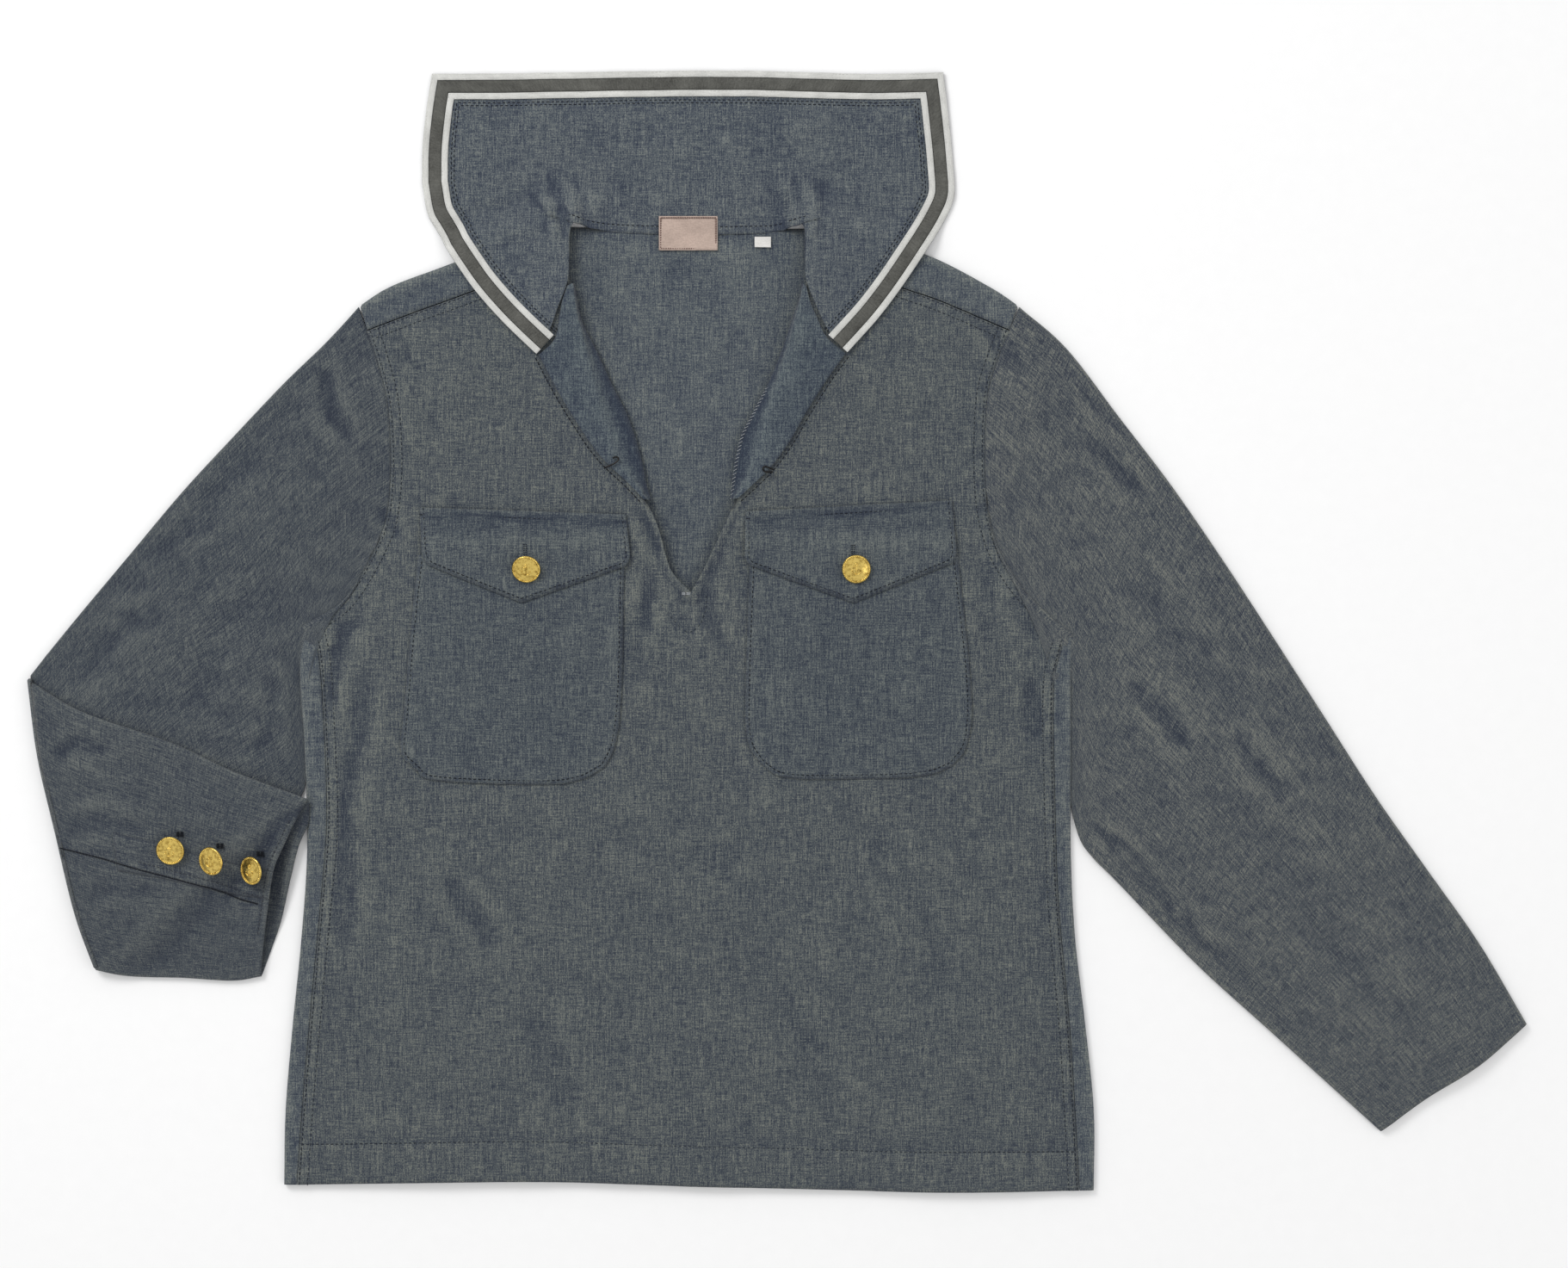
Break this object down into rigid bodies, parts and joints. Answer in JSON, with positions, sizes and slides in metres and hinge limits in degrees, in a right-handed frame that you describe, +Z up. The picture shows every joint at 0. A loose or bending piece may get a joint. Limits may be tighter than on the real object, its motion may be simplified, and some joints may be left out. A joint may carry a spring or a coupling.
{
  "type": "sailor jumper",
  "caption": "Sailor jumper in chambray laid flat, wide collar with tape border turned up, V neck, flap pockets and one sleeve folded across.",
  "frame": {"origin": "middle of the laid-out jumper on the table it lies on", "axes": "+X along the spread from the folded right sleeve to the straight left sleeve, +Y from hem to collar, +Z up off the table"},
  "size_m": [1.0456, 0.7823, 0.0253],
  "materials": {
    "chambray": "plain weave",
    "border_band": "plain weave",
    "white_tape": "woven tape",
    "label_cloth": "woven satin",
    "tag_cloth": "woven",
    "brass": "polished",
    "black_metal": "satin"
  },
  "bodies": {
    "root": {"back_panel": "chambray", "collar": "chambray", "collar_border_band": "border_band", "collar_edge_tape": "white_tape", "collar_inner_tape": "white_tape", "cuff_button_1": "brass", "cuff_button_2": "brass", "cuff_button_3": "brass", "cuff_vent_right": "chambray", "front_panel": "chambray", "neck_eye": "black_metal", "neck_facing_left": "chambray", "neck_facing_right": "chambray", "neck_hook": "black_metal", "neck_label": "label_cloth", "pocket_button_left": "brass", "pocket_button_right": "brass", "pocket_flap_left": "chambray", "pocket_flap_right": "chambray", "pocket_left": "chambray", "pocket_right": "chambray", "size_tag": "tag_cloth", "sleeve_left": "chambray", "sleeve_right": "chambray"}
  },
  "joints": []
}
